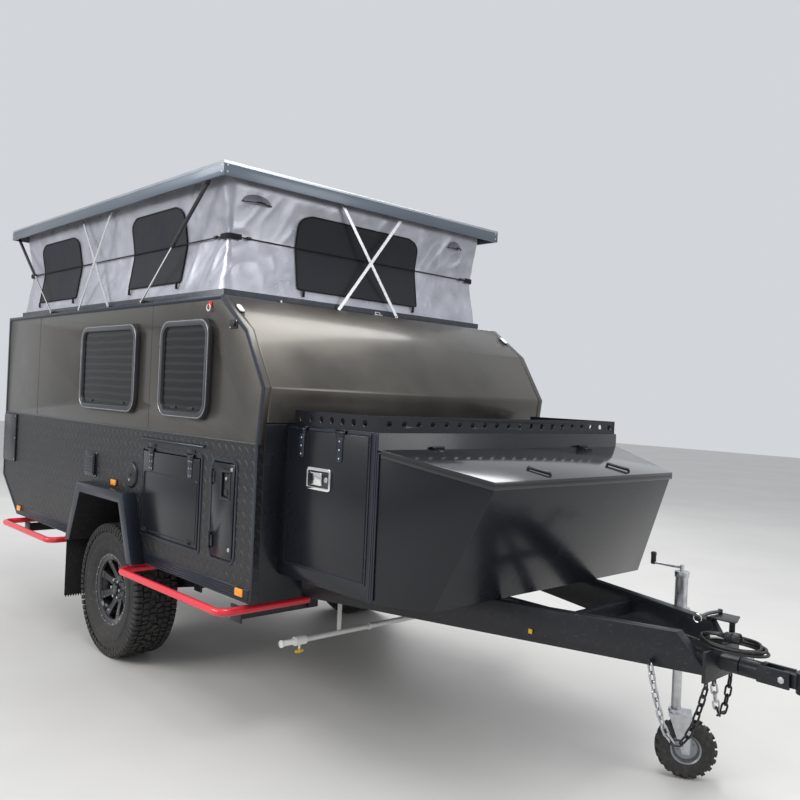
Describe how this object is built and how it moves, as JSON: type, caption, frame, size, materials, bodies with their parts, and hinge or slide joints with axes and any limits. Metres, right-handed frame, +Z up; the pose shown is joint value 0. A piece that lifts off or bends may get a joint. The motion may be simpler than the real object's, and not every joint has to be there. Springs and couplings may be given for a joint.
{
  "type": "off-road camper trailer",
  "caption": "Single-axle off-road camper trailer with a lifting tent roof, front locker, tapered tool box, A-frame drawbar, jockey wheel and drop-down legs.",
  "frame": {"origin": "on the floor under the middle of the overall length and width", "axes": "+X forward to the coupling, +Y to the trailer's left, +Z up"},
  "size_m": [6.032, 2.3778, 2.802],
  "materials": {
    "steel_black": "satin black paint",
    "panel_grey": "satin bronze-grey coated aluminium",
    "tread_black": "black coated chequer sheet",
    "sheet_black": "smooth black coated sheet",
    "roof_blue": "dark blue-grey coated aluminium",
    "rail_red": "gloss red paint",
    "fabric_silver": "shiny silver coated cloth",
    "bare_alloy": "bare bright aluminium",
    "frame_grey": "dark window frame",
    "pane_dark": "dark tinted acrylic",
    "tyre": "tread rubber",
    "rim_black": "gloss black alloy",
    "lamp": "amber lens",
    "zinc": "zinc plated steel",
    "chain": "chain steel",
    "pipe_white": "white plastic pipe",
    "cable_black": "black cable sheath",
    "strut_rod": "polished rod",
    "floor_board": "sealed composite floor"
  },
  "bodies": {
    "trailer": {"chassis": "steel_black", "drawbar": "steel_black", "floor": "floor_board", "right_upper": "panel_grey", "right_lower": "tread_black", "left_upper": "panel_grey", "left_lower": "tread_black", "nose_upper": "panel_grey", "nose_lower": "sheet_black", "rear_wall": "panel_grey", "top_deck": "sheet_black", "arch_flares": "sheet_black", "window_frames": "frame_grey", "window_panes": "pane_dark", "side_rails": "rail_red", "front_locker": "sheet_black", "gallery_rail": "sheet_black", "tool_box": "sheet_black", "suspension": "steel_black", "spare_tyre": "tyre", "spare_rim": "rim_black", "rear_bar": "steel_black", "lamps": "lamp", "jockey_tube": "zinc", "tent": "fabric_silver", "safety_chains": "chain", "drain_pipe": "pipe_white", "cable_lead": "cable_black", "cable_coil": "cable_black", "cable_plug": "cable_black", "wall_fittings": "sheet_black"},
    "roof": {"roof_lid": "roof_blue"},
    "side_arms_a": {"side_arms_a": "bare_alloy"},
    "side_arms_b": {"side_arms_b": "bare_alloy"},
    "end_arms_a": {"end_arms_a": "bare_alloy"},
    "end_arms_b": {"end_arms_b": "bare_alloy"},
    "strut_cylinders_front": {"strut_cylinders_front": "steel_black"},
    "strut_rods_front": {"strut_rods_front": "strut_rod"},
    "strut_cylinders_rear": {"strut_cylinders_rear": "steel_black"},
    "strut_rods_rear": {"strut_rods_rear": "strut_rod"},
    "wheel_right": {"tyre_right": "tyre", "rim_right": "rim_black"},
    "wheel_left": {"tyre_left": "tyre", "rim_left": "rim_black"},
    "side_hatch": {"side_hatch": "tread_black"},
    "service_door": {"service_door": "tread_black"},
    "entry_door": {"entry_door": "panel_grey", "entry_door_pane": "pane_dark"},
    "locker_door_right": {"locker_door_right": "sheet_black"},
    "locker_door_left": {"locker_door_left": "sheet_black"},
    "tool_box_lid": {"tool_box_lid": "sheet_black"},
    "leg_front_right": {"leg_front_right": "steel_black"},
    "leg_front_left": {"leg_front_left": "steel_black"},
    "leg_rear_right": {"leg_rear_right": "steel_black"},
    "leg_rear_left": {"leg_rear_left": "steel_black"},
    "jockey_leg": {"jockey_leg": "zinc"},
    "jockey_fork": {"jockey_fork": "zinc"},
    "jockey_wheel": {"jockey_wheel": "tyre"},
    "coupling_yoke": {"coupling_yoke": "steel_black"},
    "coupling_head": {"coupling_head": "steel_black"}
  },
  "joints": [
    {"name": "roof_lift", "type": "slide", "parent": "trailer", "child": "roof", "axis": [0, 0, 1], "range_m": [-0.59, 0], "deforming": ["tent"]},
    {"name": "side_arms_a_turn", "type": "hinge", "parent": "trailer", "child": "side_arms_a", "pos_m": [-0.962, 0, 2.142], "axis": [0, 1, 0], "range_deg": [-52.87, 0]},
    {"name": "side_arms_b_turn", "type": "hinge", "parent": "side_arms_a", "child": "side_arms_b", "pos_m": [-1.18698, 0, 2.437], "axis": [0, 1, 0], "range_deg": [0, 105.74]},
    {"name": "end_arms_a_turn", "type": "hinge", "parent": "trailer", "child": "end_arms_a", "pos_m": [-0.704, 0.204, 2.142], "axis": [1, 0, 0], "range_deg": [0, 52.87]},
    {"name": "end_arms_b_turn", "type": "hinge", "parent": "end_arms_a", "child": "end_arms_b", "pos_m": [-0.704, -0.02098, 2.437], "axis": [1, 0, 0], "range_deg": [-105.74, 0]},
    {"name": "strut_front_turn", "type": "hinge", "parent": "roof", "child": "strut_cylinders_front", "pos_m": [0.259, 0, 2.732], "axis": [0, 1, 0], "range_deg": [0, 39.57]},
    {"name": "strut_front_slide", "type": "slide", "parent": "strut_cylinders_front", "child": "strut_rods_front", "axis": [-0.773, 0, -0.6343], "range_m": [-0.21159, 0]},
    {"name": "strut_rear_turn", "type": "hinge", "parent": "roof", "child": "strut_cylinders_rear", "pos_m": [-2.591, 0, 2.732], "axis": [0, 1, 0], "range_deg": [-39.57, 0]},
    {"name": "strut_rear_slide", "type": "slide", "parent": "strut_cylinders_rear", "child": "strut_rods_rear", "axis": [0.773, 0, -0.6343], "range_m": [-0.21159, 0]},
    {"name": "wheel_right_spin", "type": "hinge", "parent": "trailer", "child": "wheel_right", "pos_m": [-0.704, -0.9175, 0.402], "axis": [0, 1, 0], "continuous": true},
    {"name": "wheel_left_spin", "type": "hinge", "parent": "trailer", "child": "wheel_left", "pos_m": [-0.704, 0.9175, 0.402], "axis": [0, 1, 0], "continuous": true},
    {"name": "side_hatch_lift", "type": "hinge", "parent": "trailer", "child": "side_hatch", "pos_m": [0.031, -1.058, 1.297], "axis": [-1, 0, 0], "range_deg": [0, 90]},
    {"name": "service_door_swing", "type": "hinge", "parent": "trailer", "child": "service_door", "pos_m": [0.476, -1.058, 1.054], "axis": [0, 0, -1], "range_deg": [0, 105]},
    {"name": "entry_door_swing", "type": "hinge", "parent": "trailer", "child": "entry_door", "pos_m": [0.414, 1.058, 1.448], "axis": [0, 0, -1], "range_deg": [0, 110]},
    {"name": "locker_door_right_lift", "type": "hinge", "parent": "trailer", "child": "locker_door_right", "pos_m": [1.198, -0.913, 1.485], "axis": [-1, 0, 0], "range_deg": [0, 90]},
    {"name": "locker_door_left_lift", "type": "hinge", "parent": "trailer", "child": "locker_door_left", "pos_m": [1.198, 0.913, 1.485], "axis": [1, 0, 0], "range_deg": [0, 90]},
    {"name": "tool_box_lid_lift", "type": "hinge", "parent": "trailer", "child": "tool_box_lid", "pos_m": [1.558, 0, 1.434], "axis": [0, -1, 0], "range_deg": [0, 80]},
    {"name": "leg_front_right_drop", "type": "hinge", "parent": "trailer", "child": "leg_front_right", "pos_m": [0.716, -0.6, 0.575], "axis": [1, 0, 0], "range_deg": [0, 90]},
    {"name": "leg_front_left_drop", "type": "hinge", "parent": "trailer", "child": "leg_front_left", "pos_m": [0.716, 0.6, 0.575], "axis": [-1, 0, 0], "range_deg": [0, 90]},
    {"name": "leg_rear_right_drop", "type": "hinge", "parent": "trailer", "child": "leg_rear_right", "pos_m": [-2.124, -0.6, 0.575], "axis": [1, 0, 0], "range_deg": [0, 90]},
    {"name": "leg_rear_left_drop", "type": "hinge", "parent": "trailer", "child": "leg_rear_left", "pos_m": [-2.124, 0.6, 0.575], "axis": [-1, 0, 0], "range_deg": [0, 90]},
    {"name": "jockey_wind", "type": "slide", "parent": "trailer", "child": "jockey_leg", "axis": [0, 0, 1], "range_m": [0, 0.15]},
    {"name": "jockey_swivel", "type": "hinge", "parent": "jockey_leg", "child": "jockey_fork", "pos_m": [2.296, 0.3, 0.3], "axis": [0, 0, 1], "continuous": true},
    {"name": "jockey_wheel_spin", "type": "hinge", "parent": "jockey_fork", "child": "jockey_wheel", "pos_m": [2.3393, 0.325, 0.135], "axis": [-0.5, 0.866, 0], "continuous": true},
    {"name": "coupling_roll", "type": "hinge", "parent": "trailer", "child": "coupling_yoke", "pos_m": [2.746, 0, 0.665], "axis": [1, 0, 0], "continuous": true},
    {"name": "coupling_pitch", "type": "hinge", "parent": "coupling_yoke", "child": "coupling_head", "pos_m": [2.886, 0, 0.665], "axis": [0, 1, 0], "range_deg": [-40, 40]}
  ],
  "couplings": [
    {"joint": "side_arms_a_turn", "follows": "roof_lift", "rad_per_m": 1.558},
    {"joint": "side_arms_b_turn", "follows": "roof_lift", "rad_per_m": -3.1161},
    {"joint": "end_arms_a_turn", "follows": "roof_lift", "rad_per_m": -1.558},
    {"joint": "end_arms_b_turn", "follows": "roof_lift", "rad_per_m": 3.1161},
    {"joint": "strut_front_turn", "follows": "roof_lift", "rad_per_m": -1.1647},
    {"joint": "strut_front_slide", "follows": "roof_lift", "ratio": 0.35777},
    {"joint": "strut_rear_turn", "follows": "roof_lift", "rad_per_m": 1.1647},
    {"joint": "strut_rear_slide", "follows": "roof_lift", "ratio": 0.35777}
  ]
}
